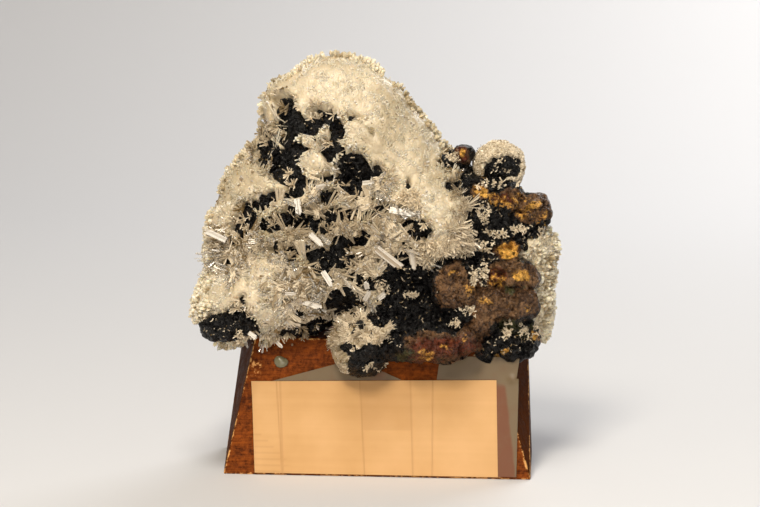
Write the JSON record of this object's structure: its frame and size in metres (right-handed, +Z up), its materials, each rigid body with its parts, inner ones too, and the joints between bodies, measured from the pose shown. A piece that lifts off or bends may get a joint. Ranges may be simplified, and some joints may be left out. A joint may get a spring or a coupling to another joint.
{
  "type": "hemimorphite mineral specimen on a wooden block",
  "caption": "Cluster of bladed hemimorphite crystals on dark oxide rock, resting on a small wedge-sided wooden display block with a bare paper label.",
  "frame": {"origin": "middle of the wooden block's underside", "axes": "+Z up, the label and the crystals face -Y, +X to the right seen from the front"},
  "size_m": [0.0966, 0.0484, 0.1094],
  "materials": {
    "oxide_rock": "rough black and brown oxide rock",
    "milky_crystal": "milky cream crystal, clear at the tips",
    "block_wood": "old red-brown varnish over plain wood",
    "aged_paper": "aged yellow paper",
    "old_tape": "old clear tape gone grey",
    "dried_glue": "dried glue"
  },
  "bodies": {
    "root": {"matrix_rock": "oxide_rock", "crystal_crust_main": "milky_crystal", "crystal_crust_right": "milky_crystal", "crystal_crust_knob": "milky_crystal", "wood_block": "block_wood", "paper_label": "aged_paper", "tape_side": "old_tape", "tape_top": "old_tape", "tape_left": "old_tape", "glue_drop": "dried_glue"}
  },
  "joints": []
}
